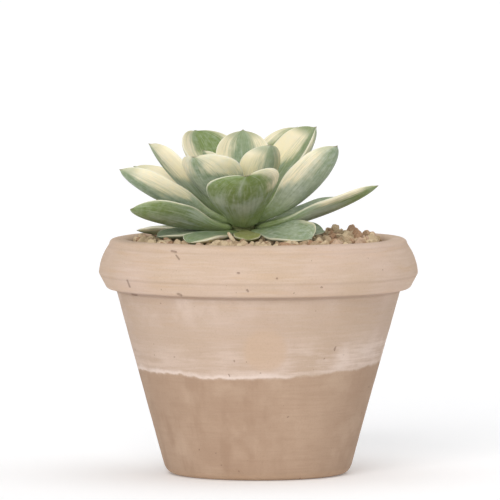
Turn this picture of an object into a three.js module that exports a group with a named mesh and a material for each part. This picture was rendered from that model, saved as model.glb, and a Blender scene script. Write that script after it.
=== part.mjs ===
// A variegated succulent rosette in a thick-rimmed clay flowerpot.
//
// Millimetres, +Z up. The origin is the centre of the pot's foot, on the surface it stands on.
// The pot is one fired piece with a drain hole. It holds potting soil, then a mounded top dressing of
// grit. The plant is a short stem whose leaves are set one above another on a cone, the oldest lowest
// and flattest and the youngest steepest. Every leaf is its own solid, a spoon with a keeled back.
import * as THREE from "three";

// Pot
const RIM_RADIUS = 70; // widest, at the lower edge of the rolled rim
const POT_HEIGHT = 103.6;
const LIP_OUTER_RADIUS = 65.4;
const LIP_INNER_RADIUS = 57;
const RIM_UNDERSIDE = 80.9; // height of the ledge below the rim
const LEDGE_INSET = 5; // these insets are measured in from the rim's widest ring
const CHAMFER_FOOT_INSET = 2.8;
const CHAMFER_TOP_INSET = 0.7;
const CHAMFER_FOOT = RIM_UNDERSIDE + 2.2;
const CHAMFER_TOP = RIM_UNDERSIDE + 6.1;
const WIDEST_RING = RIM_UNDERSIDE + 8.1;
const BAND_TOP = POT_HEIGHT - 3.8; // the band leans in from the widest ring to here
const BAND_TOP_RADIUS = LIP_OUTER_RADIUS + 0.8;
const LIP_ROUND = 2.6;
const LIP_INNER_ROUND = 3;
const WALL_RADIUS_AT_FOOT = 40.1; // where the wall's slope would meet the ground
const WALL_SLOPE = 0.2745; // radius gained for each millimetre of height
const WALL_THICKNESS = 7;
const FLOOR_THICKNESS = 8;
const FOOT_ROUND = 4.5;
const INNER_ROUND = 4; // where the wall meets the floor
const DRAIN_RADIUS = 6;
const POT_SEGMENTS = 60;
const CURVE_STEPS = 4; // points along each curve of the profile

// Filling
const GAP = 0.3; // clearance between touching pieces
const SOCKET_RADIUS = 7; // hole in the soil and the grit for the stem
const SOIL_CORNER = 4; // bevel above the pot's floor
const WALL_STRAIGHT_FROM = 84; // the pot's inside is upright above this height
const GRIT_UNDERSIDE = 92;
const GRIT_EDGE_RADIUS = 55.8;
const GRIT_AT_WALL = 100.6;
const GRIT_AT_STEM = 102.6;
const GRIT_RINGS = 14;
const GRIT_SEGMENTS = 60;
const GRIT_LUMPS = 0.7;
const HEAP_X = 38; // the grit is heaped highest here
const HEAP_Y = 22;
const HEAP_SPREAD = 16;
const HEAP_HEIGHT = 2.6;
const STONE_ROUGHNESS = 0.12;

// Loose stones on the bed: place, size across and how far each is turned, in degrees.
const STONES = [
  { x: 33, y: -33, size: 5.2, spin: 20 },
  { x: 41, y: -25, size: 4.4, spin: 75 },
  { x: 39.5, y: -17.5, size: 5.8, spin: 140 },
  { x: 47.5, y: -14, size: 4.8, spin: 200 },
  { x: 44, y: -6, size: 6.2, spin: 10 },
  { x: 50, y: 1, size: 5, spin: 95 },
  { x: 43.5, y: 5, size: 5.6, spin: 160 },
  { x: 48, y: 12, size: 5.4, spin: 250 },
  { x: 41, y: 16, size: 6.4, spin: 60 },
  { x: 43, y: 26, size: 5.8, spin: 300 },
  { x: 34.5, y: 27, size: 6, spin: 35 },
  { x: 32, y: 37, size: 5.2, spin: 120 },
  { x: 22, y: 44, size: 5, spin: 215 },
  { x: -51, y: -5, size: 4, spin: 30 },
  { x: -50, y: 6, size: 4.4, spin: 110 },
];

// Plant
const PLANT_X = -6.7; // the plant stands a little left of the pot's axis
const PLANT_Y = 0;
const CROWN_FOOT = 106; // height of the lowest leaf base
const CROWN_TOP = 120;
const CROWN_FOOT_RADIUS = 6.4;
const CROWN_TOP_RADIUS = 1.6;
const STEM_SHARE = 0.62; // the stem's radius against that of the ring its leaves start from
const STEM_SEGMENTS = 16;
const ROOT_CROWN_RADIUS = 6; // widest, just under the grit's surface
const ROOT_CROWN_RISE = 4;
const STALK_RADIUS = 0.9;
const STALK_FOOT = { x: -9.6, y: -32 };
const STALK_LEAN = { x: -3.4, y: 1.5, z: 4 }; // from its foot to its tip
const LEAF_AROUND = 12; // points round a leaf's section
const LEAF_ALONG = 12; // steps from its foot to its tip
const MIDLINE_STEPS = 16;
const WIDEST = 0.66; // share of the length where a leaf is widest
const FOOT_SHARE = 0.28; // width of the foot against the full width
const FOOT_ROUNDING = 0.06; // share of the length in which the foot closes
const TIP_SWELL = 2.3; // higher keeps the leaf wide for longer before its tip
const TIP_BLUNTNESS = 0.58; // lower is blunter
const FOOT_THICKNESS = 2.6;
const LEAF_THICKNESS = 4.6;
const BACK_SHARE = 0.6; // of the thickness, what lies behind the middle surface

const degrees = THREE.MathUtils.degToRad;
const { lerp, smoothstep } = THREE.MathUtils;

// Each leaf: turn is its heading, 0 towards +X and 90 towards +Y; rise its slope at the base and bend
// what the slope gains by the tip; swing what its heading gains by the tip; foot where it sits on the
// crown, 0 lowest and 1 highest; cup how far its edges curl up; roll its twist. Angles are in degrees.
const LEAVES = [
  // lowest whorl, lying on the grit
  { name: "leaf_stub", turn: 275, rise: -2, bend: -6, length: 22, width: 12, foot: 0.02, cup: 15 },
  { name: "leaf_low_front_left", turn: 240, rise: 0, bend: -6, length: 40, width: 16, foot: 0,
    cup: 20, roll: -4 },
  { name: "leaf_low_left", turn: 199, rise: 1, bend: -6, length: 33, width: 18, foot: 0,
    cup: 20, roll: -6 },
  { name: "leaf_low_left_back", turn: 163, rise: 0, bend: -2, length: 42, width: 18, foot: 0.06, cup: 20 },
  { name: "leaf_low_right_front", turn: 317, rise: 5.5, bend: -16, length: 34, width: 22, foot: 0.02,
    cup: 22, roll: 20 },
  { name: "leaf_low_right", turn: 359, rise: 2, bend: -3, length: 29, width: 18, foot: 0,
    cup: 20, roll: 18 },
  { name: "leaf_low_back_right", turn: 45, rise: 3, bend: -4, length: 35, width: 20, foot: 0, cup: 20 },
  { name: "leaf_low_back", turn: 86, rise: 3, bend: -4, length: 40, width: 22, foot: 0.02, cup: 20 },
  { name: "leaf_low_back_left", turn: 125, rise: 3, bend: -4, length: 40, width: 19, foot: -0.02, cup: 20 },
  // second whorl
  { name: "leaf_left", turn: 210, rise: 7, bend: 8, length: 51, width: 23, foot: 0.15, cup: 38, roll: 20 },
  { name: "leaf_right", turn: 345, rise: 12, bend: 14, length: 58, width: 17, foot: 0.16,
    cup: 24, roll: -8 },
  { name: "leaf_right_back", turn: 25, rise: 14, bend: 4, length: 44, width: 16, foot: 0.12, cup: 36 },
  { name: "leaf_back", turn: 68, rise: 20, bend: 6, length: 50, width: 25, foot: 0.14, cup: 36 },
  { name: "leaf_back_left", turn: 113, rise: 20, bend: 6, length: 50, width: 25, foot: 0.12, cup: 36 },
  // third whorl
  { name: "leaf_front", turn: 272, rise: 26, bend: 6, length: 49.5, width: 35, foot: 0.24,
    cup: 40, roll: 12 },
  { name: "leaf_upper_left", turn: 200, rise: 17.5, bend: 15, length: 57, width: 20, foot: 0.31,
    cup: 38, roll: 22 },
  { name: "leaf_upper_left_back", turn: 153, rise: 25, bend: 4, length: 54, width: 25, foot: 0.22,
    cup: 42 },
  { name: "leaf_upper_back", turn: 99, rise: 28, bend: 8, length: 52, width: 26, foot: 0.3, cup: 40 },
  // fourth whorl
  { name: "leaf_inner_right", turn: 334, rise: 18, bend: 42, length: 53.5, width: 27, foot: 0.4,
    cup: 48, roll: -14 },
  { name: "leaf_inner_front_left", turn: 239, rise: 34, bend: 10, length: 42.5, width: 31, foot: 0.56,
    cup: 44, roll: 8, swing: -10 },
  { name: "leaf_inner_left", turn: 177, rise: 32, bend: 20, length: 49, width: 25, foot: 0.42,
    cup: 50, roll: 12 },
  { name: "leaf_inner_back_right", turn: 58, rise: 38, bend: 12, length: 56, width: 26, foot: 0.38,
    cup: 44 },
  { name: "leaf_inner_right_back", turn: 15, rise: 46, bend: 14, length: 48, width: 31, foot: 0.52,
    cup: 46, roll: 14 },
  { name: "leaf_inner_back_left", turn: 124, rise: 42, bend: 10, length: 49, width: 33, foot: 0.52,
    cup: 42 },
  // heart
  { name: "leaf_heart_back", turn: 90, rise: 56, bend: 18, length: 38, width: 26, foot: 0.66, cup: 40 },
  { name: "leaf_heart_front_right", turn: 304, rise: 52, bend: 16, length: 35, width: 23, foot: 0.62,
    cup: 46 },
  { name: "leaf_heart_left", turn: 200, rise: 52, bend: 16, length: 30, width: 22, foot: 0.72, cup: 50 },
  { name: "leaf_bud_right", turn: 358, rise: 66, bend: 12, length: 20, width: 13, foot: 0.84, cup: 50 },
  { name: "leaf_bud_left", turn: 140, rise: 68, bend: 12, length: 18, width: 12, foot: 0.88, cup: 50 },
  { name: "leaf_bud_front", turn: 250, rise: 72, bend: 12, length: 14, width: 9, foot: 0.95, cup: 50 },
];

// One fired piece: floor, sloping wall and rolled rim. The profile runs from the drain hole out under
// the foot, up the outside, over the lip and down the inside.
function potProfile() {
  const outer = (z) => WALL_RADIUS_AT_FOOT + WALL_SLOPE * z;
  const inner = (z) => outer(z) - WALL_THICKNESS;
  const inset = (distance) => RIM_RADIUS - distance;
  const corner = FLOOR_THICKNESS + INNER_ROUND - 1;
  const floorEdge = inner(FLOOR_THICKNESS);
  const path = new THREE.Path();
  path.moveTo(DRAIN_RADIUS, 0);
  path.lineTo(outer(0) - FOOT_ROUND, 0);
  path.quadraticCurveTo(outer(0), 0, outer(FOOT_ROUND), FOOT_ROUND);
  path.lineTo(outer(RIM_UNDERSIDE), RIM_UNDERSIDE);
  path.lineTo(inset(LEDGE_INSET), RIM_UNDERSIDE + 0.5);
  path.quadraticCurveTo(inset(3.2), RIM_UNDERSIDE + 0.8, inset(CHAMFER_FOOT_INSET), CHAMFER_FOOT);
  path.lineTo(inset(CHAMFER_TOP_INSET), CHAMFER_TOP);
  path.quadraticCurveTo(RIM_RADIUS, WIDEST_RING - 1, RIM_RADIUS, WIDEST_RING);
  path.quadraticCurveTo(inset(0.6), BAND_TOP - 4.8, BAND_TOP_RADIUS, BAND_TOP);
  path.lineTo(LIP_OUTER_RADIUS, POT_HEIGHT - LIP_ROUND);
  path.quadraticCurveTo(LIP_OUTER_RADIUS, POT_HEIGHT - 0.5, LIP_OUTER_RADIUS - LIP_ROUND, POT_HEIGHT - 0.2);
  path.lineTo(LIP_INNER_RADIUS + LIP_INNER_ROUND, POT_HEIGHT);
  path.quadraticCurveTo(LIP_INNER_RADIUS, POT_HEIGHT, LIP_INNER_RADIUS - 0.4, POT_HEIGHT - LIP_INNER_ROUND);
  path.lineTo(inner(WALL_STRAIGHT_FROM), WALL_STRAIGHT_FROM);
  path.lineTo(inner(corner), corner);
  path.quadraticCurveTo(floorEdge, FLOOR_THICKNESS, floorEdge - INNER_ROUND, FLOOR_THICKNESS);
  path.lineTo(DRAIN_RADIUS, FLOOR_THICKNESS);
  path.lineTo(DRAIN_RADIUS, 0);
  return withoutRepeats(path.getPoints(CURVE_STEPS));
}

// The points without the ones that fall on the point before them.
function withoutRepeats(points) {
  return points.filter((p, i) => i === 0 || p.distanceTo(points[i - 1]) > 1e-3);
}

// Points of radius and height turned round the +Z axis.
function lathe(points, segments) {
  return new THREE.LatheGeometry(points, segments).rotateX(Math.PI / 2);
}

// The leaf's middle line a share s of the way along, with the side and up directions there.
function leafFrame(leaf, s) {
  const { turn, rise, bend, swing = 0, roll = 0, length, foot } = leaf;
  const heading = degrees(turn);
  const radius = lerp(CROWN_FOOT_RADIUS, CROWN_TOP_RADIUS, foot);
  const at = new THREE.Vector3(
    PLANT_X + radius * Math.cos(heading),
    PLANT_Y + radius * Math.sin(heading),
    lerp(CROWN_FOOT, CROWN_TOP, foot),
  );
  const direction = (t) => {
    const slope = degrees(rise + bend * t);
    const head = degrees(turn + swing * t);
    return new THREE.Vector3(
      Math.cos(slope) * Math.cos(head),
      Math.cos(slope) * Math.sin(head),
      Math.sin(slope),
    );
  };
  for (let i = 0; i < MIDLINE_STEPS; i++) {
    at.addScaledVector(direction(((i + 0.5) / MIDLINE_STEPS) * s), (length * s) / MIDLINE_STEPS);
  }
  const ahead = direction(s);
  const head = degrees(turn + swing * s);
  const side = new THREE.Vector3(-Math.sin(head), Math.cos(head), 0);
  side.applyAxisAngle(ahead, degrees(roll) * smoothstep(s, 0, 0.4));
  const up = ahead.clone().cross(side);
  return { at, side, up };
}

// Share of the full width at s: a narrow foot, widest at two thirds, a blunt tip.
function leafOutline(s) {
  const body = lerp(FOOT_SHARE, 1, smoothstep(s, 0, WIDEST));
  const beyond = Math.max(0, (s - WIDEST) / (1 - WIDEST));
  const tip = (1 - beyond ** TIP_SWELL) ** TIP_BLUNTNESS;
  return body * tip * roundedFoot(s);
}

// Closes the foot of the leaf with a round end.
function roundedFoot(s) {
  return Math.sqrt(Math.min(1, s / FOOT_ROUNDING));
}

// Full thickness at s: fleshiest a third of the way along, thin at the tip.
function leafThickness(s) {
  const body = lerp(FOOT_THICKNESS, LEAF_THICKNESS, smoothstep(s, 0, 0.4)) * lerp(1, 0.7, s);
  const tip = Math.sqrt(Math.max(0, 1 - s ** 6));
  return body * roundedFoot(s) * tip;
}

// A point of the leaf's skin: its section is a lens bent round an arc, fuller on the back.
function leafPoint(leaf, s, angle) {
  const { at, side, up } = leafFrame(leaf, s);
  const arc = degrees(leaf.cup) * lerp(0.35, 1, smoothstep(s, 0.1, 0.6));
  const radius = ((leaf.width / 2) * leafOutline(s)) / arc;
  const through = Math.sin(angle); // 1 on the upper face, -1 on the back
  const share = through > 0 ? 1 - BACK_SHARE : BACK_SHARE;
  const skin = radius - leafThickness(s) * share * through;
  const bent = arc * Math.cos(angle);
  return at
    .clone()
    .addScaledVector(side, skin * Math.sin(bent))
    .addScaledVector(up, radius - skin * Math.cos(bent));
}

// A ball with its poles at the foot and the tip, pulled into the shape of the leaf.
function leafGeometry(leaf) {
  const g = new THREE.SphereGeometry(1, LEAF_AROUND, LEAF_ALONG);
  const { position, uv } = g.attributes;
  for (let i = 0; i < position.count; i++) {
    const s = (1 - Math.cos(Math.PI * (1 - uv.getY(i)))) / 2;
    const p = leafPoint(leaf, s, -2 * Math.PI * uv.getX(i));
    position.setXYZ(i, p.x, p.y, p.z);
  }
  return g;
}

// Height of the bare top dressing: mounded towards the plant and heaped at the right and behind.
function gritHeight(x, y) {
  const out = Math.min(1, Math.hypot(x, y) / GRIT_EDGE_RADIUS);
  const heap = Math.exp(-((x - HEAP_X) ** 2 + (y - HEAP_Y) ** 2) / (2 * HEAP_SPREAD ** 2));
  return lerp(GRIT_AT_STEM, GRIT_AT_WALL, smoothstep(out, 0.2, 1)) + HEAP_HEIGHT * heap * (1 - out ** 4);
}

// A repeatable rough value between -1 and 1 for a place.
function lump(x, y) {
  const wave = Math.sin(12.9898 * Math.round(x * 10) + 78.233 * Math.round(y * 10)) * 43758.5453;
  return 2 * (wave - Math.floor(wave)) - 1;
}

// The bed of stones under the loose ones: a ring from the stem to the pot, with a lumpy top.
function gritBed() {
  const profile = [
    new THREE.Vector2(SOCKET_RADIUS, GRIT_UNDERSIDE),
    new THREE.Vector2(GRIT_EDGE_RADIUS, GRIT_UNDERSIDE),
  ];
  for (let i = 0; i <= GRIT_RINGS; i++) {
    profile.push(new THREE.Vector2(lerp(GRIT_EDGE_RADIUS, SOCKET_RADIUS, i / GRIT_RINGS), GRIT_AT_WALL));
  }
  profile.push(profile[0].clone());
  const bed = lathe(profile, GRIT_SEGMENTS);
  const { position } = bed.attributes;
  for (let i = 0; i < position.count; i++) {
    const radius = Math.hypot(position.getX(i), position.getY(i));
    const inward = (GRIT_EDGE_RADIUS - radius) / (GRIT_EDGE_RADIUS - SOCKET_RADIUS);
    const x = position.getX(i) + PLANT_X * inward;
    const y = position.getY(i) + PLANT_Y * inward;
    const isTop = position.getZ(i) > GRIT_UNDERSIDE + 1;
    const z = isTop ? gritHeight(x, y) + GRIT_LUMPS * lump(x, y) : GRIT_UNDERSIDE;
    position.setXYZ(i, x, y, z);
  }
  return bed;
}

// A loose stone: a rough ball, flattened and turned, resting on the bed.
function stone({ x, y, size, spin }) {
  const g = new THREE.IcosahedronGeometry(size / 2, 1);
  const { position } = g.attributes;
  for (let i = 0; i < position.count; i++) {
    const p = new THREE.Vector3().fromBufferAttribute(position, i);
    p.multiplyScalar(1 + STONE_ROUGHNESS * lump(p.x + 7 * p.z, p.y + 3 * spin));
    position.setXYZ(i, p.x, p.y * 0.85, p.z * 0.75);
  }
  g.rotateZ(degrees(spin));
  g.computeBoundingBox();
  const rest = gritHeight(x, y) + GRIT_LUMPS + GAP - g.boundingBox.min.z;
  return g.translate(x, y, rest);
}

// Everything below the grit.
function soil() {
  const edge = (z) => WALL_RADIUS_AT_FOOT + WALL_SLOPE * z - WALL_THICKNESS - GAP;
  const bottom = FLOOR_THICKNESS + GAP;
  const top = GRIT_UNDERSIDE - GAP;
  return lathe([
    new THREE.Vector2(0, bottom),
    new THREE.Vector2(edge(bottom) - SOIL_CORNER, bottom),
    new THREE.Vector2(edge(bottom + SOIL_CORNER), bottom + SOIL_CORNER),
    new THREE.Vector2(edge(WALL_STRAIGHT_FROM), WALL_STRAIGHT_FROM),
    new THREE.Vector2(edge(WALL_STRAIGHT_FROM), top),
    new THREE.Vector2(0, top),
  ], POT_SEGMENTS);
}

// The root crown and the stem above it, narrower than the ring the leaves start from.
function stem() {
  return lathe([
    new THREE.Vector2(0, GRIT_UNDERSIDE),
    new THREE.Vector2(ROOT_CROWN_RADIUS - 1, GRIT_UNDERSIDE),
    new THREE.Vector2(ROOT_CROWN_RADIUS, GRIT_UNDERSIDE + ROOT_CROWN_RISE),
    new THREE.Vector2(CROWN_FOOT_RADIUS * STEM_SHARE, CROWN_FOOT),
    new THREE.Vector2(CROWN_TOP_RADIUS * STEM_SHARE, CROWN_TOP),
    new THREE.Vector2(0, CROWN_TOP + 1),
  ], STEM_SEGMENTS).translate(PLANT_X, PLANT_Y, 0);
}

// A dry flower stalk broken off short, leaning in front of the leaves.
function stalk() {
  const { x, y } = STALK_FOOT;
  const foot = new THREE.Vector3(x, y, gritHeight(x, y) + GRIT_LUMPS + GAP + STALK_RADIUS);
  const lean = new THREE.Vector3(STALK_LEAN.x, STALK_LEAN.y, STALK_LEAN.z);
  const g = new THREE.CapsuleGeometry(STALK_RADIUS, lean.length(), 2, 8);
  const upright = new THREE.Vector3(0, 1, 0);
  g.applyQuaternion(new THREE.Quaternion().setFromUnitVectors(upright, lean.clone().normalize()));
  return g.translate(...foot.addScaledVector(lean, 0.5).toArray());
}

const finish = {
  clay: new THREE.MeshStandardMaterial({ color: 0xcbb299, roughness: 0.9, metalness: 0 }),
  soil: new THREE.MeshStandardMaterial({ color: 0x3a2c22, roughness: 0.95, metalness: 0 }),
  grit: new THREE.MeshStandardMaterial({ color: 0xa98766, roughness: 0.9, metalness: 0 }),
  stone: new THREE.MeshStandardMaterial({ color: 0xb99875, roughness: 0.9, metalness: 0 }),
  stem: new THREE.MeshStandardMaterial({ color: 0x8a8a5c, roughness: 0.8, metalness: 0 }),
  straw: new THREE.MeshStandardMaterial({ color: 0xb49a78, roughness: 0.85, metalness: 0 }),
  leaf: new THREE.MeshStandardMaterial({ color: 0x93a584, roughness: 0.55, metalness: 0 }),
};

const part = new THREE.Group();

function add(name, geometry, material) {
  const mesh = new THREE.Mesh(geometry, material);
  mesh.name = name;
  part.add(mesh);
  return mesh;
}

add("pot", lathe(potProfile(), POT_SEGMENTS), finish.clay);
add("soil", soil(), finish.soil);
add("grit_bed", gritBed(), finish.grit);
STONES.forEach((place, i) => add(`stone_${i + 1}`, stone(place), finish.stone));
add("stem", stem(), finish.stem);
add("dry_stalk", stalk(), finish.straw);
for (const leaf of LEAVES) {
  add(leaf.name, leafGeometry(leaf), finish.leaf);
}

export default part;
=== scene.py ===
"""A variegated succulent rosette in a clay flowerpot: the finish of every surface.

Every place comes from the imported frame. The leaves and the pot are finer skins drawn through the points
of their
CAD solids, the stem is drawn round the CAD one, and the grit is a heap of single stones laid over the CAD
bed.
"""

import math
import random

import bmesh
import bpy
import numpy as np
from mathutils import Euler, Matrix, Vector, noise


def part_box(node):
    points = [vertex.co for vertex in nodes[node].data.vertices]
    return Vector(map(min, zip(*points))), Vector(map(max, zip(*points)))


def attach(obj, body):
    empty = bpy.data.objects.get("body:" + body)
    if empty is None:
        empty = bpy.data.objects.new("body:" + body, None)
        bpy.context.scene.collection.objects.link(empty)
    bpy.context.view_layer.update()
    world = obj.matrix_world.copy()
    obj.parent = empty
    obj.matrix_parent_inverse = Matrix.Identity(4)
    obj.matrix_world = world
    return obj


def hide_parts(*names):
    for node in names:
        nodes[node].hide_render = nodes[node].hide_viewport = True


MM = 0.001

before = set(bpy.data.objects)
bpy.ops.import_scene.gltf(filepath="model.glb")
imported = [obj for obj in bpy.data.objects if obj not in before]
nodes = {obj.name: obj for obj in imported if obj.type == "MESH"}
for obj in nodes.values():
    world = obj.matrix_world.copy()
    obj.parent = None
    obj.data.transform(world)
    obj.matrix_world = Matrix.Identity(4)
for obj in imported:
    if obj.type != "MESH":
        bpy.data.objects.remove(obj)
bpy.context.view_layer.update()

pot_low, pot_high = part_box("pot")
bed_low, bed_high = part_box("grit_bed")
stem_low, stem_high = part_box("stem")
STEM_AXIS = (stem_low + stem_high) / 2
RIM_RADIUS = (pot_high.x - pot_low.x) / 2
POT_HEIGHT = pot_high.z
BED_RADIUS = (bed_high.x - bed_low.x) / 2


# Shader arithmetic ----------------------------------------------------------------------------------

class Value:
    """What a node gives. Arithmetic on it adds the nodes that work the result out."""

    def __init__(self, shader, socket):
        self.shader = shader
        self.socket = socket

    def math(self, operation, *operands):
        inputs = dict(enumerate(operands))
        return self.shader.node("ShaderNodeMath", {"operation": operation}, inputs)

    def __add__(self, other):
        return self.math("ADD", self, other)

    def __radd__(self, other):
        return self.math("ADD", other, self)

    def __sub__(self, other):
        return self.math("SUBTRACT", self, other)

    def __rsub__(self, other):
        return self.math("SUBTRACT", other, self)

    def __mul__(self, other):
        return self.math("MULTIPLY", self, other)

    def __rmul__(self, other):
        return self.math("MULTIPLY", other, self)

    def __truediv__(self, other):
        return self.math("DIVIDE", self, other)

    def __pow__(self, other):
        return self.math("POWER", self, other)

    def __abs__(self):
        return self.math("ABSOLUTE", self)

    def ramp(self, low, high, to_low=0.0, to_high=1.0):
        """Eases from to_low to to_high as this goes from low to high."""
        settings = {"interpolation_type": "SMOOTHSTEP"}
        inputs = {"Value": self, "From Min": low, "From Max": high, "To Min": to_low, "To Max": to_high}
        return self.shader.node("ShaderNodeMapRange", settings, inputs)

    def part(self, axis):
        """One coordinate of a vector: 0, 1 or 2."""
        return self.shader.node("ShaderNodeSeparateXYZ", {}, {"Vector": self}, axis)


class Shader:
    """One material and the nodes in it."""

    def __init__(self, name):
        self.material = bpy.data.materials.new(name)
        self.material.use_nodes = True
        self.tree = self.material.node_tree
        self.tree.nodes.clear()

    def node(self, kind, settings=None, inputs=None, output=0):
        made = self.tree.nodes.new(kind)
        for name, value in (settings or {}).items():
            setattr(made, name, value)
        for name, value in (inputs or {}).items():
            if isinstance(value, Value):
                self.tree.links.new(value.socket, made.inputs[name])
            else:
                made.inputs[name].default_value = value
        return Value(self, made.outputs[output]) if made.outputs else None

    def place(self):
        """Where a point of the surface is, in metres."""
        return self.node("ShaderNodeTexCoord", output="Object")

    def stored(self, name):
        """A number stored on the mesh's points."""
        return self.node("ShaderNodeAttribute", {"attribute_name": name}, output="Fac")

    def vector(self, x, y, z):
        return self.node("ShaderNodeCombineXYZ", {}, {"X": x, "Y": y, "Z": z})

    def stretched(self, vector, x, y, z):
        inputs = {0: vector, 1: (x, y, z)}
        return self.node("ShaderNodeVectorMath", {"operation": "MULTIPLY"}, inputs)

    def noise(self, where, scale, detail=2.0, roughness=0.5, seed=0.0):
        settings = {"noise_dimensions": "4D"}
        inputs = {"Vector": where, "W": seed, "Scale": scale, "Detail": detail, "Roughness": roughness}
        return self.node("ShaderNodeTexNoise", settings, inputs)

    def cells(self, where, scale):
        """How far each point is from the middle of its cell."""
        return self.node("ShaderNodeTexVoronoi", {}, {"Vector": where, "Scale": scale}, "Distance")

    def mix(self, factor, a, b):
        """Colour a where the factor is 0, b where it is 1."""
        return self.node("ShaderNodeMix", {"data_type": "RGBA"}, {0: factor, 6: a, 7: b}, 2)

    def bump(self, height, distance, strength, under=None):
        inputs = {"Height": height, "Distance": distance, "Strength": strength}
        if under is not None:
            inputs["Normal"] = under
        return self.node("ShaderNodeBump", {}, inputs)

    def surface(self, inputs):
        """Ends the material in a Principled surface and gives the material."""
        skin = self.node("ShaderNodeBsdfPrincipled", {}, inputs)
        self.node("ShaderNodeOutputMaterial", {}, {"Surface": skin})
        return self.material


def colour(red, green, blue):
    """A colour from the 0 to 255 numbers of a paint chart."""
    def linear(part):
        part /= 255
        return part / 12.92 if part <= 0.04045 else ((part + 0.055) / 1.055) ** 2.4

    return (linear(red), linear(green), linear(blue), 1.0)


# Meshes ---------------------------------------------------------------------------------------------

def piece(name, points, faces, material, replaced, stored=None):
    """A smooth mesh that stands for CAD nodes, with numbers stored on its points."""
    mesh = bpy.data.meshes.new(name)
    mesh.from_pydata([tuple(p) for p in points], [], faces)
    mesh.shade_smooth()
    for title, numbers in (stored or {}).items():
        layer = mesh.attributes.new(title, "FLOAT", "POINT")
        layer.data.foreach_set("value", np.asarray(numbers, np.float32))
    mesh.materials.append(material)
    made = bpy.data.objects.new(name, mesh)
    bpy.context.collection.objects.link(made)
    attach(made, "root")
    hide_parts(*replaced)
    return made


def spline(points, count, closed):
    """Points on a smooth curve through rows of numbers: count steps from each row to the next."""
    rows = len(points)
    last = rows if closed else rows - 1
    made = []
    for i in range(last):
        if closed:
            before, start, end, after = (points[(i + k) % rows] for k in (-1, 0, 1, 2))
        else:
            start, end = points[i], points[i + 1]
            before = points[i - 1] if i > 0 else 2 * start - end
            after = points[i + 2] if i + 2 < rows else 2 * end - start
        for step in range(count):
            t = step / count
            made.append(
                0.5 * (2 * start + (end - before) * t + (2 * before - 5 * start + 4 * end - after) * t * t
                       + (3 * start - before - 3 * end + after) * t ** 3)
            )
    if not closed:
        made.append(points[-1])
    return np.array(made)


def welded(node):
    """The CAD node's mesh with its split corners joined."""
    mesh = bmesh.new()
    mesh.from_mesh(node.data)
    bmesh.ops.remove_doubles(mesh, verts=mesh.verts, dist=0.001 * MM)
    return mesh


# Leaves ---------------------------------------------------------------------------------------------

LEAF_AROUND = 12  # points in each ring of a CAD leaf
FINE_AROUND = 3  # steps between them on the finished leaf
FINE_ALONG = 4
MUCRO_LENGTH = 1.1 * MM
MUCRO_SPREAD = 1.3 * MM
KEEL_HEIGHT = 0.7 * MM
FOOT_SWELL = 0.4  # how much thicker a foot is than on the CAD leaf, where it clasps the stem
FOOT_SHARE = 0.3  # of the leaf's length
EDGE_WAVE = 0.35 * MM  # how far a leaf's edges wave up and down
WAVES = (15, 13)  # radians along the left and the right edge


def beside(vertex):
    """The vertices that share an edge with this one."""
    return [edge.other_vert(vertex) for edge in vertex.link_edges]


def in_order(ring):
    """The ring's points in the order they join."""
    members = set(ring)
    walked = [ring[0]]
    while len(walked) < len(ring):
        walked.append(next(v for v in beside(walked[-1]) if v in members and v not in walked))
    return walked


def lined_up(ring, before):
    """The ring turned, and reversed if need be, to lie point by point beside the ring before it."""
    turned = [np.roll(way, -k, axis=0) for way in (ring, ring[::-1]) for k in range(len(ring))]
    return min(turned, key=lambda way: np.linalg.norm(way - before, axis=1).sum())


def leaf_rings(node):
    """The rings of the CAD leaf from foot to tip, each starting at the same edge and going by the back."""
    mesh = welded(node)
    ends = [v for v in mesh.verts if len(v.link_edges) == LEAF_AROUND]
    foot, tip = sorted(ends, key=lambda v: (v.co - STEM_AXIS).xy.length)
    rings = [np.array([foot.co] * LEAF_AROUND)]
    seen = {foot}
    ring = in_order(beside(foot))
    while True:
        points = np.array([v.co for v in ring])
        rings.append(lined_up(points, rings[-1]) if len(rings) > 1 else points)
        seen.update(ring)
        following = {v for here in ring for v in beside(here)} - seen
        if tip in following:
            break
        ring = in_order(list(following))
    rings.append(np.array([tip.co] * LEAF_AROUND))
    mesh.free()
    return edge_first(np.array(rings))


def edge_first(rings):
    """Turns the rings so that point 0 is the edge on the left, seen from the stem, and the back is next."""
    half = LEAF_AROUND // 2
    middle = rings[len(rings) // 2 + 1]
    spans = [np.linalg.norm(middle[k] - middle[k + half]) for k in range(half)]
    start = int(np.argmax(spans))
    ahead = Vector(rings[-1][0] - rings[0][0])
    left = Vector((0, 0, 1)).cross(ahead)
    if left.dot(Vector(middle[start] - middle[start + half])) < 0:
        start += half
    rings = np.roll(rings, -start, axis=1)
    middle = rings[len(rings) // 2 + 1]
    chord = (middle[0] + middle[half]) / 2
    quarter = half // 2
    if np.linalg.norm(middle[quarter] - chord) < np.linalg.norm(middle[-quarter] - chord):
        rings = np.roll(rings[:, ::-1], 1, axis=1)
    return rings


def finer(rings):
    """The CAD rings drawn smoother, as a grid of more rows with more points in each."""
    half = LEAF_AROUND // 2
    over_foot = np.roll(rings[1], half, axis=0)
    over_tip = np.roll(rings[-2], half, axis=0)
    padded = np.array([over_foot, *rings, over_tip])
    rows = spline(padded, FINE_ALONG, False)[FINE_ALONG:-FINE_ALONG]
    return np.array([spline(row, FINE_AROUND, True) for row in rows])


def unit(vectors):
    """The vectors at a length of 1. One with no length stays as it is."""
    return vectors / (np.linalg.norm(vectors, axis=-1, keepdims=True) + 1e-9)


def clasping(grid, along):
    """The leaf with its foot swollen to clasp the stem."""
    centre = grid.mean(axis=1, keepdims=True)
    to_foot = np.clip(1 - along / FOOT_SHARE, 0, 1)
    return centre + (grid - centre) * (1 + FOOT_SWELL * to_foot)[..., None]


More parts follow.
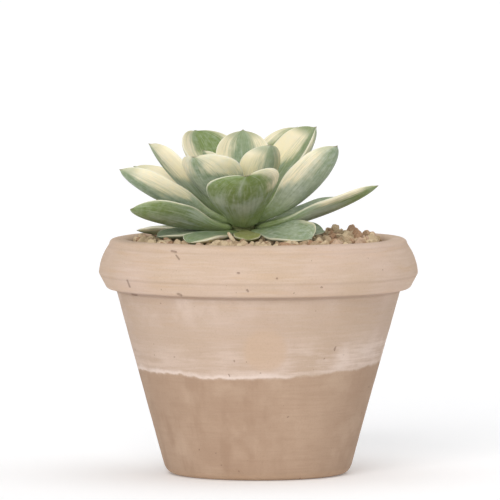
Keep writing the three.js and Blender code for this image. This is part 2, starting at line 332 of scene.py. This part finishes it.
def keeled(grid, back, body):
    """The leaf with a ridge along the middle of its back."""
    outward = unit(grid - grid.mean(axis=1, keepdims=True))
    return grid + outward * (KEEL_HEIGHT * body * np.maximum(0, back) ** 10)[..., None]


def wavy(grid, along, across, body, rng):
    """The leaf with its two edges waving up and down."""
    columns = grid.shape[1]
    up = unit(grid[:, 3 * columns // 4] - grid[:, columns // 4])
    wave = 0
    for side, waves in zip((across, -across), WAVES):
        phase = rng.uniform(0, 6.3)
        wave = wave + EDGE_WAVE * np.sin(along * waves + phase) * np.maximum(0, side) ** 4
    return grid + up[:, None, :] * (wave * body)[..., None]


def pointed(grid):
    """The leaf with its tip drawn out into a short point."""
    tip = grid[-1, 0]
    ahead = unit(tip - grid[-8].mean(axis=0))
    near = np.exp(-np.linalg.norm(grid - tip, axis=2) / MUCRO_SPREAD)
    return grid + ahead * (MUCRO_LENGTH * near ** 2)[..., None]


def leaf_grid(rings, rng):
    """The finished skin: rows of points from foot to tip, and how far along, across and back each is."""
    grid = finer(rings)
    rows, columns = grid.shape[:2]
    by_row = (1 - np.cos(np.pi * np.arange(rows) / (rows - 1))) / 2
    by_column = 2 * np.pi * np.arange(columns) / columns
    along, angle = np.meshgrid(by_row, by_column, indexing="ij")
    across = np.cos(angle)
    back = np.sin(angle)
    body = np.sin(np.pi * along) ** 0.7  # full in the middle, nothing at either end
    grid = clasping(grid, along)
    grid = keeled(grid, back, body)
    grid = wavy(grid, along, across, body, rng)
    return pointed(grid), along, across, back


def skin_of(grid):
    """Points and faces of a closed skin from rows of points whose first and last rows are single points."""
    rows, columns = grid.shape[:2]
    points = [grid[0, 0], *grid[1:-1].reshape(-1, 3), grid[-1, 0]]
    last = len(points) - 1
    faces = []
    for j in range(columns):
        k = (j + 1) % columns
        faces.append((0, 1 + k, 1 + j))
        for i in range(rows - 3):
            a, b = 1 + i * columns, 1 + (i + 1) * columns
            faces.append((a + j, a + k, b + k, b + j))
        top = 1 + (rows - 3) * columns
        faces.append((top + j, top + k, last))
    return points, faces


def per_point(rows):
    """Numbers for the points of skin_of from a grid of them."""
    return [rows[0, 0], *rows[1:-1].ravel(), rows[-1, 0]]


CREAM = colour(248, 236, 204)
BUTTER = colour(244, 230, 178)
SAGE = colour(153, 166, 134)
BLUE_GREEN = colour(128, 148, 119)
DEEP = colour(102, 121, 86)
GRASS = colour(114, 134, 62)
FRESH_AND_FILL_LIGHT = colour(156, 174, 108)
YELLOWED = colour(172, 168, 98)
BLOOM_AND_FILL_LIGHT = colour(220, 226, 214)
MARGIN = colour(240, 236, 214)
TIP = colour(136, 122, 104)

# How each leaf is marked. Its green band has its middle from -1 to 1 across the leaf, +1 on the left edge
# seen from the stem, and reaches this far to each side. The cream starts this far along. Butter is how
# yellow the cream is, grass how grassy the green is, tip how green the cream turns at the very end, bloom
# how waxy the skin is and age how far the whole leaf has turned yellow.
PLAIN = dict(middle=0.0, reach=1.0, start=0.45, butter=0.1, grass=0.3, tip=0.3, bloom=0.16, age=0.0)
MARKS = {
    # lowest whorl
    "leaf_stub": dict(reach=1.8, grass=1.0, age=0.85),
    "leaf_low_front_left": dict(middle=-0.25, reach=0.97, grass=0.5),
    "leaf_low_left": dict(grass=0.2),
    "leaf_low_left_back": dict(reach=0.8, grass=0.2),
    "leaf_low_right_front": dict(middle=-0.05, reach=0.9, bloom=0.45),
    "leaf_low_right": dict(grass=0.2, bloom=0.35),
    # second whorl
    "leaf_left": dict(middle=0.05, reach=1.02, grass=0.9),
    "leaf_right": dict(middle=0.05, reach=0.8, grass=0.8, tip=0.8),
    "leaf_right_back": dict(reach=1.2, grass=0.1, bloom=0.35),
    # third whorl
    "leaf_front": dict(middle=-0.22, reach=0.9, start=0.5, grass=1.0),
    "leaf_upper_left": dict(middle=-0.35, reach=0.7, grass=0.2, tip=0.6, bloom=0.3),
    "leaf_upper_left_back": dict(middle=0.5, reach=0.6, start=0.5, butter=0.4, grass=0.7),
    # fourth whorl
    "leaf_inner_right": dict(middle=0.3, reach=0.76, grass=0.1, tip=0.6, bloom=0.35),
    "leaf_inner_front_left": dict(middle=-0.06, reach=0.26, start=0.64, grass=0.15, bloom=0.35),
    "leaf_inner_left": dict(middle=-0.35, reach=0.58, start=0.5, butter=0.3, grass=0.5),
    "leaf_inner_back_right": dict(middle=0.1, reach=0.5, start=0.7, grass=0.9),
    "leaf_inner_right_back": dict(middle=-0.4, reach=0.4, start=0.55, butter=1.0, grass=0.6, tip=0.9),
    "leaf_inner_back_left": dict(middle=-0.2, reach=0.62, start=0.5, grass=1.0),
    # heart
    "leaf_heart_back": dict(reach=0.42, start=0.4, butter=0.7, tip=0.6),
    "leaf_heart_front_right": dict(middle=0.1, reach=0.3, start=0.4, butter=0.7, grass=0.1, tip=0.7),
}


def band_edge(marks, along, across, wander):
    """Below 0 in the green band and above 0 on the cream beside and beyond it."""
    widening = along.ramp(marks["start"] + 0.2, marks["start"] - 0.35, 0.0, 1.5)
    return abs(across - marks["middle"]) - (widening + marks["reach"]) + wander


def leaf_green(s, marks, along, back, patches, fine_stripes, clouds):
    """Sage and blue-green, waxier on the back, grassier in patches, at the foot fresh and yellower. The
    paleness of the back and of the foot is partly painted fill light.
    """
    green = s.mix(clouds.ramp(0.35, 0.65), SAGE, BLUE_GREEN)
    # Paler backs, low and mid way along: partly a waxy underside, partly painted fill light on the shaded
    # lower part of the leaf.
    green = s.mix(back.ramp(0.0, 0.8) * along.ramp(0.95, 0.5) * 0.28, green, BLOOM_AND_FILL_LIGHT)
    green = s.mix(patches * (0.9 * marks["grass"]), green, GRASS)
    # Paler, yellower green at the foot: partly the foot's own fresh colour, partly painted fill light on
    # the shaded base of the leaf.
    green = s.mix(along.ramp(0.5, 0.1) * 0.8, green, FRESH_AND_FILL_LIGHT)
    green = s.mix(fine_stripes.ramp(0.5, 0.75) * 0.3, green, BLOOM_AND_FILL_LIGHT)
    return s.mix(fine_stripes.ramp(0.48, 0.3) * 0.45, green, DEEP)


def leaf_cream(s, marks, along, fine_stripes, haze):
    """Cream or butter, hazed with green near the band."""
    cream = s.mix(along.ramp(0.95, 0.3) * marks["butter"], CREAM, BUTTER)
    return s.mix(haze * fine_stripes.ramp(0.42, 0.62) * 0.5, cream, SAGE)


def leaf_skin(name, marks, seed):
    """Waxy leaf skin: a streaky green band on cream, with a pale margin and a brown point."""
    marks = {**PLAIN, **marks}
    s = Shader(name + "_skin")
    along = s.stored("along")
    across = s.stored("across")
    back = s.stored("back")
    place = s.place()
    stripes = s.noise(s.vector(across * 6, along * 2.2, back * 1.5), 1.0, 4.0, 0.62, seed)
    fine_stripes = s.noise(s.vector(across * 22, along * 4.5, back * 3), 1.0, 3.0, 0.6, seed + 9)
    ribs = s.noise(s.vector(across * 9, along * 0.8, back * 2), 1.0, 2.0, 0.5, seed + 4)
    clouds = s.noise(place, 90, 3.0, 0.55, seed)
    mottle = s.noise(place, 420, 3.0, 0.6, seed)
    grain = s.noise(place, 1500, 2.0, 0.5, seed)

    wander = (stripes - 0.5) * 0.8 + (fine_stripes - 0.5) * 0.4 + (clouds - 0.5) * 0.6
    edge = band_edge(marks, along, across, wander)
    cream_share = edge.ramp(-0.2, 0.2) * along.ramp(0.86, 0.97, 1.0, 1 - marks["tip"])
    patches = (stripes * 0.6 + clouds * 0.4 + along.ramp(0.5, 0.9) * 0.12).ramp(0.42, 0.62)
    green = leaf_green(s, marks, along, back, patches, fine_stripes, clouds)
    cream = leaf_cream(s, marks, along, fine_stripes, edge.ramp(0.75, 0.05))
    skin = s.mix(cream_share, green, cream)
    skin = s.mix(marks["age"] * patches.ramp(0.0, 1.0, 1.0, 0.7), skin, YELLOWED)
    skin = s.mix(mottle.ramp(0.35, 0.75) * marks["bloom"], skin, BLOOM_AND_FILL_LIGHT)
    skin = s.mix(abs(across).ramp(0.95, 0.99) * along.ramp(0.15, 0.4) * 0.65, skin, MARGIN)
    skin = s.mix(along.ramp(0.991, 0.9995) * 0.7, skin, TIP)

    normal = s.bump(ribs, 0.5 * MM, 0.5)
    normal = s.bump(grain, 0.05 * MM, 0.6, normal)
    return s.surface({
        "Base Color": skin,
        "Roughness": 0.46 + mottle * 0.16,
        "Normal": normal,
        "Subsurface Weight": 0.18,
        "Subsurface Radius": (1.0, 1.0, 0.5),
        "Subsurface Scale": 2 * MM,
        "Specular IOR Level": 0.35,
    })


def leaves():
    """Every leaf, marked by the table or, where it isn't in it, by chance."""
    names = sorted(name for name in nodes if name.startswith("leaf_"))
    for number, name in enumerate(names):
        rng = random.Random(number)
        chance = dict(
            middle=rng.uniform(-0.4, 0.4),
            reach=rng.uniform(0.3, 0.7),
            grass=rng.uniform(0.1, 0.6),
        )
        grid, along, across, back = leaf_grid(leaf_rings(nodes[name]), rng)
        points, faces = skin_of(grid)
        stored = {"along": per_point(along), "across": per_point(across), "back": per_point(back)}
        material = leaf_skin(name, MARKS.get(name, chance), number * 3.7)
        piece(name + "_flesh", points, faces, material, [name], stored)


# Pot ------------------------------------------------------------------------------------------------

POT_AROUND = 168
POT_STEP = 2.4 * MM  # longest stretch of the finished profile between two points
CORNER_EASE = 0.45 * MM
WOBBLE = 0.35 * MM  # how far the wall and the lip wander from true
RINGS = 0.07 * MM  # depth of the throwing rings
FOOT_EDGE = 2 * MM  # the foot is left flat below this


def pot_profile():
    """The CAD pot's profile in order from the drain hole's lower edge, as radius and height."""
    mesh = welded(nodes["pot"])
    level = [v for v in mesh.verts if abs(v.co.y) < 0.01 * MM and v.co.x > 0]
    loop = in_order(level)
    profile = np.array([(v.co.x, v.co.z) for v in loop])
    mesh.free()
    start = int(np.argmin(profile[:, 0] + profile[:, 1]))
    profile = np.roll(profile, -start, axis=0)
    if profile[1, 1] > profile[-1, 1]:
        profile = np.roll(profile[::-1], 1, axis=0)
    return profile


def softened(profile):
    """The closed profile with each corner cut twice and its long stretches divided."""
    for _ in range(2):
        cut = []
        for a, b in zip(profile, np.roll(profile, -1, axis=0)):
            share = min(0.25, CORNER_EASE / float(np.linalg.norm(b - a)))
            cut.extend((a + (b - a) * share, b + (a - b) * share))
        profile = np.array(cut)
    made = []
    for a, b in zip(profile, np.roll(profile, -1, axis=0)):
        count = max(1, round(float(np.linalg.norm(b - a)) / POT_STEP))
        made.extend(a + (b - a) * k / count for k in range(count))
    return np.array(made)


def pot(material):
    """The thrown pot: the CAD profile turned, slightly out of true, with faint throwing rings."""
    profile = softened(pot_profile())
    points = []
    for radius, height in profile:
        uneven = 1 if radius > RIM_RADIUS * 0.5 and height > FOOT_EDGE else 0
        near_lip = min(1, max(0, height / POT_HEIGHT - 0.8) * 5)
        for j in range(POT_AROUND):
            turn = 2 * math.pi * j / POT_AROUND
            x, y = math.cos(turn), math.sin(turn)
            spin = Vector((x * 1.2, y * 1.2, height * 18))
            wobble = WOBBLE * noise.noise(spin)
            rings = RINGS * noise.noise(Vector((x * 0.6, y * 0.6, height * 700)))
            swell = (wobble + rings) * uneven
            lift = WOBBLE * noise.noise(spin * 1.5) * near_lip
            points.append((x * (radius + swell), y * (radius + swell), height + lift))
    rows = len(profile)
    faces = []
    for i in range(rows):
        a, b = i * POT_AROUND, (i + 1) % rows * POT_AROUND
        for j in range(POT_AROUND):
            k = (j + 1) % POT_AROUND
            faces.append((a + j, a + k, b + k, b + j))
    piece("pot_clay", points, faces, material, ["pot"])


CLAY = colour(200, 175, 152)
CLAY_PINK = colour(206, 181, 163)
CLAY_WARM = colour(203, 172, 142)
CLAY_SHADED_WALL = colour(176, 153, 134)
CLAY_DAMP = colour(182, 155, 132)
CLAY_DAMP_DARK = colour(160, 131, 108)
CLAY_DARK = colour(112, 84, 68)
SALT = colour(228, 210, 199)

TIDE_MIDDLE = 45.6 * MM  # the tide line's height at the front of the pot
TIDE_RISE = 2.4 * MM  # and what it gains towards the sides
TIDE_RADIUS = 52 * MM
TIDE_TILT = 1.4 * MM  # how much higher it is on the right than at the front

STAIN_X = 3 * MM  # a round warm patch on the front, bare of salt
STAIN_HEIGHT = 58 * MM
STAIN_RADIUS = 11 * MM

LEDGE_HEIGHT = 80.9 * MM  # underside of the rim
CHAMFER_LINE = 87.4 * MM  # the painted shade line low on the rim, on its chamfer
LIP_LINE = 100.2 * MM  # and the painted shade line below its lip

# Small nicks on the front: place across, height, half length, lean in degrees, half width; millimetres.
NICKS = [
    (-36.5, 100.9, 1.0, 8, 0.35),
    (-34.8, 98.6, 1.0, 50, 0.28),
    (-56.3, 86.0, 1.6, 70, 0.34),
    (-53.8, 80.8, 0.8, 5, 0.5),
    (-34.0, 82.4, 0.7, 20, 0.5),
    (-8.6, 92.5, 0.2, 0, 0.4),
    (-4.6, 84.8, 0.4, 60, 0.36),
    (8.0, 90.2, 0.1, 0, 0.34),
]
NICK_FADE = 2.2  # where a nick has faded out, against the square of its half width


def nick(x, height, centre_x, centre_z, half_length, lean, half_width):
    """1 in one short groove, fading to 0 beyond its edge."""
    c, n = math.cos(math.radians(lean)), math.sin(math.radians(lean))
    dx = x - centre_x * MM
    dz = height - centre_z * MM
    along = abs(dx * c - dz * n) - half_length * MM
    across = dx * n + dz * c
    beyond = along.math("MAXIMUM", along, 0.0)
    return (beyond * beyond + across * across).ramp((half_width * MM) ** 2 * NICK_FADE, 0.0)


def on_front(place):
    """1 on the front half of the pot."""
    return place.part(1).ramp(0.0, -20 * MM)


def nicked(place):
    """1 in the nicks."""
    x = place.part(0)
    height = place.part(2)
    nicks = 0.0
    for numbers in NICKS:
        nicks = nick(x, height, *numbers) + nicks
    return nicks * on_front(place)


def stained(place):
    """1 in the round warm patch."""
    from_middle = (place.part(0) - STAIN_X) ** 2.0 + (place.part(2) - STAIN_HEIGHT) ** 2.0
    return from_middle.ramp(STAIN_RADIUS ** 2, (STAIN_RADIUS - 4 * MM) ** 2) * on_front(place)


def above_tide(s, place, aside):
    """Height above the wavy tide line."""
    broad_wave = (s.noise(place, 45, 2.0, 0.5, 4.0) - 0.5) * 5 * MM
    ripple = (s.noise(place, 260, 2.0, 0.6) - 0.5) * 2 * MM
    tide = aside * aside * TIDE_RISE + aside * TIDE_TILT + TIDE_MIDDLE
    return place.part(2) - tide + broad_wave + ripple


def salted(s, clay, place, aside, above, brushed, haze):
    """The wall below the rim: painted shade over all of it, a crust of salt high up, a veil of it low down
    and a line on the tide.
    """
    height = place.part(2)
    wall = height.ramp(LEDGE_HEIGHT, LEDGE_HEIGHT - MM)
    crust = height.ramp(62 * MM, 77 * MM) * haze.ramp(0.42, 0.66)
    crust = crust * wall * aside.ramp(0.3, -0.7, 0.3, 1.0)
    veil = above.ramp(0.0, 2 * MM) * above.ramp(22 * MM, 4 * MM)
    veil = veil * (brushed + haze).ramp(0.82, 1.2) * aside.ramp(-0.5, 0.7, 0.5, 1.0)
    line = above.ramp(0.0, 0.7 * MM) * above.ramp(2.6 * MM, 0.9 * MM)
    line = line * aside.ramp(0.6, -0.1, 0.35, 1.0)
    stain = stained(place)
    # Painted shade: the whole wall below the rim darker than the rim.
    clay = s.mix(wall * 0.45, clay, CLAY_SHADED_WALL)
    clay = s.mix(crust * 0.4, clay, SALT)
    clay = s.mix(veil * (1 - stain * 0.8) * 0.68, clay, SALT)
    clay = s.mix(stain * 0.35, clay, CLAY_WARM)
    return s.mix(line * haze.ramp(0.3, 0.55, 0.25, 0.78), clay, SALT)


def damp_clay(s, place, aside, throwing, clouds, haze):
    """The darker clay below the tide line, streaked with drips, with a warmer, lighter band at the foot
    that is partly a painted highlight.
    """
    drips = s.noise(s.stretched(place, 1, 1, 0.05), 130, 3.0, 0.6, 8.0)
    damp = s.mix(clouds.ramp(0.35, 0.7) * 0.6, CLAY_DAMP, CLAY_DAMP_DARK)
    damp = s.mix(drips.ramp(0.46, 0.66) * aside.ramp(0.35, -0.1, 0.15, 0.5), damp, CLAY_DAMP_DARK)
    damp = s.mix(throwing.ramp(0.42, 0.7) * 0.25, damp, CLAY_DAMP_DARK)
    damp = s.mix(haze.ramp(0.5, 0.68) * 0.3, damp, CLAY)
    # Warmer clay at the foot, partly its own colour, partly a painted highlight along the bottom edge.
    return s.mix(place.part(2).ramp(4 * MM, 1 * MM) * 0.4, damp, CLAY_WARM)


def rim_shade_lines(height):
    """How dark the painted shade lines round the rim are: a painted shadow under its ledge, painted shade
    on its chamfer and below its lip.
    """
    ledge_shadow = abs(height - LEDGE_HEIGHT).ramp(1.3 * MM, 0.2 * MM) * 0.4
    chamfer_shade = abs(height - CHAMFER_LINE).ramp(0.9 * MM, 0.1 * MM) * 0.1
    lip_shade = abs(height - LIP_LINE).ramp(0.8 * MM, 0.1 * MM) * 0.06
    return ledge_shadow + chamfer_shade + lip_shade


def fired_clay():
    """Pale unglazed clay, damp and darker below a wavy tide line, with salt above it."""
    s = Shader("fired_clay")
    place = s.place()
    aside = place.part(0) / TIDE_RADIUS
    throwing = s.noise(s.stretched(place, 1, 1, 14), 60, 4.0, 0.6)
    clouds = s.noise(place, 26, 4.0, 0.6, 5.0)
    haze = s.noise(place, 55, 3.0, 0.55, 11.0)
    brushed = s.noise(s.stretched(place, 0.25, 0.25, 3), 150, 3.0, 0.6, 2.0)
    grain = s.noise(place, 1400, 3.0, 0.7)
    speck = s.noise(place, 340, 1.0, 0.5, 3.0)
    above = above_tide(s, place, aside)
    nicks = nicked(place)

    clay = s.mix(clouds.ramp(0.35, 0.68), CLAY, CLAY_PINK)
    clay = s.mix(brushed.ramp(0.45, 0.75) * 0.5, clay, CLAY_WARM)
    clay = s.mix(throwing.ramp(0.4, 0.75) * 0.22, clay, SALT)
    clay = salted(s, clay, place, aside, above, brushed, haze)
    damp = damp_clay(s, place, aside, throwing, clouds, haze)
    clay = s.mix(above.ramp(0.5 * MM, -0.7 * MM), clay, damp)
    # Painted shade: dark lines under the rim's ledge, on its chamfer and below its lip.
    clay = s.mix(rim_shade_lines(place.part(2)), clay, CLAY_DARK)
    clay = s.mix(grain.ramp(0.45, 0.85) * 0.18, clay, CLAY_DARK)
    clay = s.mix(speck.ramp(0.735, 0.765) * 0.5, clay, CLAY_DARK)
    clay = s.mix(nicks * 0.5, clay, CLAY_DARK)

    normal = s.bump(throwing, 0.3 * MM, 0.5)
    normal = s.bump(grain, 0.12 * MM, 0.5, normal)
    normal = s.bump(1 - nicks, 0.4 * MM, 0.8, normal)
    return s.surface({
        "Base Color": clay,
        "Roughness": 0.86 + grain * 0.12,
        "Normal": normal,
        "Specular IOR Level": 0.5,
    })


# Filling --------------------------------------------------------------------------------------------

STONE_COLOURS = [colour(174, 148, 118), colour(216, 194, 160), colour(170, 132, 104), colour(204, 174, 150)]
LARGE_STONE = 2.3 * MM  # radius from which a stone is drawn with the finer mesh
STONES_STREWN = 500
GOLDEN_ANGLE = math.radians(137.508)  # between one strewn stone and the next, so that they spread evenly
RADII_ACROSS = 3.3  # the diagonal of a loose stone's CAD box against the radius it is drawn with
RIM_GAIN = 0.3  # how much larger the stones are out by the rim, clear of the leaves
EDGE_ANGLE = math.radians(28)
FLATS = 9  # broken faces tried on each stone


def pumice():
    """Pale porous stone, each one its own tone."""
    s = Shader("pumice")
    place = s.place()
    tone = s.stored("tone")
    grain = s.noise(place, 1300, 3.0, 0.65)
    pores = s.cells(place, 1500)
    dark, pale, rust, pink = STONE_COLOURS
    stone = s.mix(tone.ramp(0.0, 0.5), dark, pale)
    stone = s.mix(tone.ramp(0.62, 0.7), stone, rust)
    stone = s.mix(tone.ramp(0.84, 0.9), stone, pink)
    stone = s.mix(grain.ramp(0.35, 0.75) * 0.35, stone, colour(226, 204, 172))
    stone = s.mix(pores.ramp(0.22, 0.08) * 0.45, stone, colour(96, 72, 52))
    normal = s.bump(pores, 0.3 * MM, 0.8)
    normal = s.bump(grain, 0.35 * MM, 0.9, normal)
    return s.surface({
        "Base Color": stone,
        "Roughness": 0.85 + grain * 0.12,
        "Normal": normal,
        "Specular IOR Level": 0.25,
    })


def stone_dust():
    """The dark crumbs between the stones."""
    s = Shader("stone_dust")
    place = s.place()
    grain = s.noise(place, 900, 4.0, 0.7)
    dust = s.mix(grain.ramp(0.35, 0.7), colour(74, 55, 40), colour(146, 120, 92))
    return s.surface({"Base Color": dust, "Roughness": 0.95, "Normal": s.bump(grain, 0.6 * MM, 0.9)})


def potting_soil():
    """Dark crumbs shot through with fibre."""
    s = Shader("potting_soil")
    place = s.place()
    crumbs = s.cells(place, 500)
    fibre = s.noise(s.stretched(place, 1, 3, 1), 700, 4.0, 0.7)
    soil = s.mix(fibre.ramp(0.4, 0.7), colour(44, 32, 24), colour(92, 68, 48))
    normal = s.bump(crumbs + fibre, 0.8 * MM, 0.9)
    return s.surface({"Base Color": soil, "Roughness": 0.95, "Normal": normal})


def ball_shape(fineness):
    """Points and faces of a small ball to be knocked into stones."""
    ball = bmesh.new()
    bmesh.ops.create_icosphere(ball, subdivisions=fineness, radius=1)
    points = [v.co.copy() for v in ball.verts]
    faces = [tuple(v.index for v in f.verts) for f in ball.faces]
    ball.free()
    return points, faces


def knocked(point, seed):
    """A point of a unit ball moved onto a rough broken stone."""
    cut = point.copy()
    rng = random.Random(seed)
    for _ in range(FLATS):
        flat = Vector((rng.gauss(0, 1), rng.gauss(0, 1), rng.gauss(0, 1))).normalized()
        depth = rng.uniform(0.5, 0.85)
        over = cut.dot(flat) - depth
        if over > 0:
            cut -= flat * over * 0.95
    rough = 0.16 * noise.noise(point * 2.6 + Vector((seed, 0, 0)))
    return cut * (1 + rough)


def bed_surface():
    """A function that gives the CAD bed's height at a place, or None beside it."""
    bed = nodes["grit_bed"]
    top = bed_high.z + 10 * MM

    def height(x, y):
        hit, where, _, _ = bed.ray_cast(Vector((x, y, top)), Vector((0, 0, -1)))
        return where.z if hit and where.z > bed_low.z + 2 * MM else None

    return height


def grit(material):
    """Stones strewn over the bed, and one in the place of each loose CAD stone."""
    coarse = ball_shape(2)
    fine = ball_shape(3)
    height = bed_surface()
    rng = random.Random(4)
    loose = sorted(name for name in nodes if name.startswith("stone_"))
    places = []
    for name in loose:
        low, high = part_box(name)
        places.append(((low + high) / 2, (high - low).length / RADII_ACROSS))
    for i in range(STONES_STREWN):
        spread = math.sqrt((i + 0.5) / STONES_STREWN) * (BED_RADIUS - 2.2 * MM)
        outer = min(1, max(0, spread / BED_RADIUS - 0.6) * 4)
        turn = i * GOLDEN_ANGLE
        x = spread * math.cos(turn) + rng.uniform(-1, 1) * MM
        y = spread * math.sin(turn) + rng.uniform(-1, 1) * MM
        size = rng.uniform(1.5, 2.9) * MM * (1 + RIM_GAIN * outer)
        ground = height(x, y)
        if ground is not None:
            places.append((Vector((x, y, ground + size * 0.3)), size))
    points, faces, tone = [], [], []
    for number, (centre, size) in enumerate(places):
        first = len(points)
        ball, triangles = fine if size > LARGE_STONE else coarse
        turn = Euler([rng.uniform(0, 6.3) for _ in range(3)])
        flat = Vector((1, rng.uniform(0.75, 0.95), rng.uniform(0.6, 0.85)))
        for p in ball:
            q = knocked(p, number) * flat
            q.rotate(turn)
            points.append(centre + q * size)
        faces.extend(tuple(first + k for k in f) for f in triangles)
        tone.extend([rng.random()] * len(ball))
    stones = piece("grit_stones", points, faces, material, loose, {"tone": tone})
    stones.data.set_sharp_from_angle(angle=EDGE_ANGLE)


# Stem -----------------------------------------------------------------------------------------------

STEM_AROUND = 40
STEM_ROWS = 44
STEM_RADIUS = 6 * MM
STEM_TAPER = 3.6 * MM  # how much thinner it is at its top
STEM_WAIST = stem_low.z + 12 * MM  # where it begins to taper
SCAR_DEPTH = 0.35 * MM
STALK_ROWS = 20
STALK_AROUND = 12
STALK_RADIUS = 0.9 * MM
STALK_BOW = 0.5 * MM
STALK_SUNK = 0.4  # share of the CAD stalk's length that the strand goes on below its foot
STALK_PAST = 0.1  # and above its tip


def green_bark():
    """Soft green stem with pale scars where leaves have dropped."""
    s = Shader("green_bark")
    place = s.place()
    scars = s.noise(s.stretched(place, 1, 1, 4), 300, 3.0, 0.6)
    young = place.part(2).ramp(stem_low.z + 9 * MM, stem_low.z + 13 * MM)
    bark = s.mix(young, colour(150, 126, 88), colour(152, 160, 104))
    bark = s.mix(scars.ramp(0.45, 0.7) * 0.5, bark, colour(196, 190, 142))
    return s.surface({"Base Color": bark, "Roughness": 0.75, "Normal": s.bump(scars, 0.5 * MM, 0.8)})


def stem(material):
    """The stem drawn round the CAD one, ringed with the scars of dropped leaves."""
    grid = []
    for i in range(STEM_ROWS + 1):
        z = stem_low.z + (stem_high.z - stem_low.z) * i / STEM_ROWS
        radius = STEM_RADIUS - STEM_TAPER * max(0, (z - STEM_WAIST) / (stem_high.z - STEM_WAIST))
        if i in (0, STEM_ROWS):
            radius = 0
        ring = []
        for j in range(STEM_AROUND):
            turn = 2 * math.pi * j / STEM_AROUND
            scar = SCAR_DEPTH * math.sin(z / MM * 2.4 + 2 * math.sin(turn * 3)) if radius else 0
            ring.append((
                STEM_AXIS.x + (radius + scar) * math.cos(turn),
                STEM_AXIS.y + (radius + scar) * math.sin(turn),
                z,
            ))
        grid.append(ring)
    points, faces = skin_of(np.array(grid))
    piece("stem_bark", points, faces, material, ["stem"])


def dry_fibre():
    """Bleached fibre of a dead flower stalk."""
    s = Shader("dry_fibre")
    place = s.place()
    fibre = s.noise(s.stretched(place, 3, 3, 0.6), 500, 3.0, 0.6)
    straw = s.mix(fibre.ramp(0.35, 0.7), colour(206, 180, 142), colour(238, 222, 194))
    return s.surface({"Base Color": straw, "Roughness": 0.85, "Normal": s.bump(fibre, 0.3 * MM, 0.8)})


def dry_stalk(material):
    """A shrivelled, slightly bent strand along the CAD stalk, its foot pushed in among the stones."""
    low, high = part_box("dry_stalk")
    foot = Vector((high.x - STALK_RADIUS, low.y + STALK_RADIUS, low.z + STALK_RADIUS))
    tip = Vector((low.x + STALK_RADIUS, high.y - STALK_RADIUS, high.z - STALK_RADIUS))
    ahead = (tip - foot).normalized()
    side = ahead.cross(Vector((0, 1, 0))).normalized()
    deep = ahead.cross(side)
    grid = []
    for i in range(STALK_ROWS + 1):
        t = i / STALK_ROWS
        along = t * (1 + STALK_PAST + STALK_SUNK) - STALK_SUNK
        centre = foot + (tip - foot) * along + side * (STALK_BOW * math.sin(math.pi * t))
        width = STALK_RADIUS * math.sin(math.pi * min(0.96, t)) ** 0.35 if 0 < i < STALK_ROWS else 0
        ring = []
        for j in range(STALK_AROUND):
            turn = 2 * math.pi * j / STALK_AROUND + t
            fold = 1 + 0.25 * math.sin(turn * 3 + 6 * t)
            ring.append(centre + (side * math.cos(turn) + deep * math.sin(turn) * 0.6) * width * fold)
        grid.append([tuple(p) for p in ring])
    points, faces = skin_of(np.array(grid))
    piece("dry_strand", points, faces, material, ["dry_stalk"])


def refinish(name, material):
    """Gives a CAD node that is shown as it is its own material."""
    node = nodes[name]
    node.data.materials.clear()
    node.data.materials.append(material)


# Studio ---------------------------------------------------------------------------------------------

CAMERA_DISTANCE = 3.2
CAMERA_HEIGHT = 0.295
LOOK_AT = Vector((-3.6 * MM, 0, 98.2 * MM))
LENS = 526
FLOOR_RADIUS = 12.0
FLOOR_CURL = 2.0


def camera():
    lens = bpy.data.cameras.new("camera")
    lens.lens = LENS
    lens.sensor_width = 36
    lens.clip_end = 100
    made = bpy.data.objects.new("camera", lens)
    bpy.context.collection.objects.link(made)
    made.location = (LOOK_AT.x, -CAMERA_DISTANCE, CAMERA_HEIGHT)
    made.rotation_euler = (LOOK_AT - made.location).to_track_quat("-Z", "Y").to_euler()
    bpy.context.scene.camera = made


def backdrop():
    """A wide pale floor whose far edge curls up all round."""
    profile = [(0.02, 0), (FLOOR_RADIUS, 0)]
    for k in range(1, 9):
        turn = math.radians(10 * k)
        reach = FLOOR_RADIUS + FLOOR_CURL * math.sin(turn)
        profile.append((reach, FLOOR_CURL * (1 - math.cos(turn))))
    around = 96
    points = [(0, 0, 0)]
    for radius, height in profile:
        for j in range(around):
            turn = 2 * math.pi * j / around
            points.append((radius * math.cos(turn), radius * math.sin(turn), height))
    faces = [(0, 1 + j, 1 + (j + 1) % around) for j in range(around)]
    for i in range(len(profile) - 1):
        a, b = 1 + i * around, 1 + (i + 1) * around
        faces.extend((a + j, b + j, b + (j + 1) % around, a + (j + 1) % around) for j in range(around))
    s = Shader("paper")
    tooth = s.noise(s.place(), 300)
    tone = s.mix(tooth, colour(247, 247, 248), colour(250, 250, 251))
    mesh = bpy.data.meshes.new("backdrop")
    mesh.from_pydata(points, [], faces)
    mesh.shade_smooth()
    mesh.materials.append(s.surface({
        "Base Color": tone,
        "Roughness": 0.9,
        "Emission Color": (1, 1, 1, 1),
        "Emission Strength": 0.13,
    }))
    made = bpy.data.objects.new("backdrop", mesh)
    bpy.context.collection.objects.link(made)


def sun(name, come_from, strength, spread):
    """A broad even light from a direction."""
    light = bpy.data.lights.new(name, "SUN")
    light.energy = strength
    light.angle = math.radians(spread)
    made = bpy.data.objects.new(name, light)
    bpy.context.collection.objects.link(made)
    made.location = come_from
    made.rotation_euler = Vector(come_from).to_track_quat("Z", "Y").to_euler()


def studio():
    sun("key", (-0.25, -1.0, 0.5), 1.55, 35)
    sun("overhead", (0.15, 0.1, 1.0), 1.2, 80)
    world = bpy.data.worlds.new("studio")
    world.use_nodes = True
    sky = world.node_tree.nodes["Background"]
    sky.inputs["Color"].default_value = (1, 1, 1, 1)
    sky.inputs["Strength"].default_value = 0.36
    bpy.context.scene.world = world
    bpy.context.scene.view_settings.view_transform = "Standard"


camera()
backdrop()
studio()
leaves()
pot(fired_clay())
grit(pumice())
refinish("grit_bed", stone_dust())
refinish("soil", potting_soil())
stem(green_bark())
dry_stalk(dry_fibre())
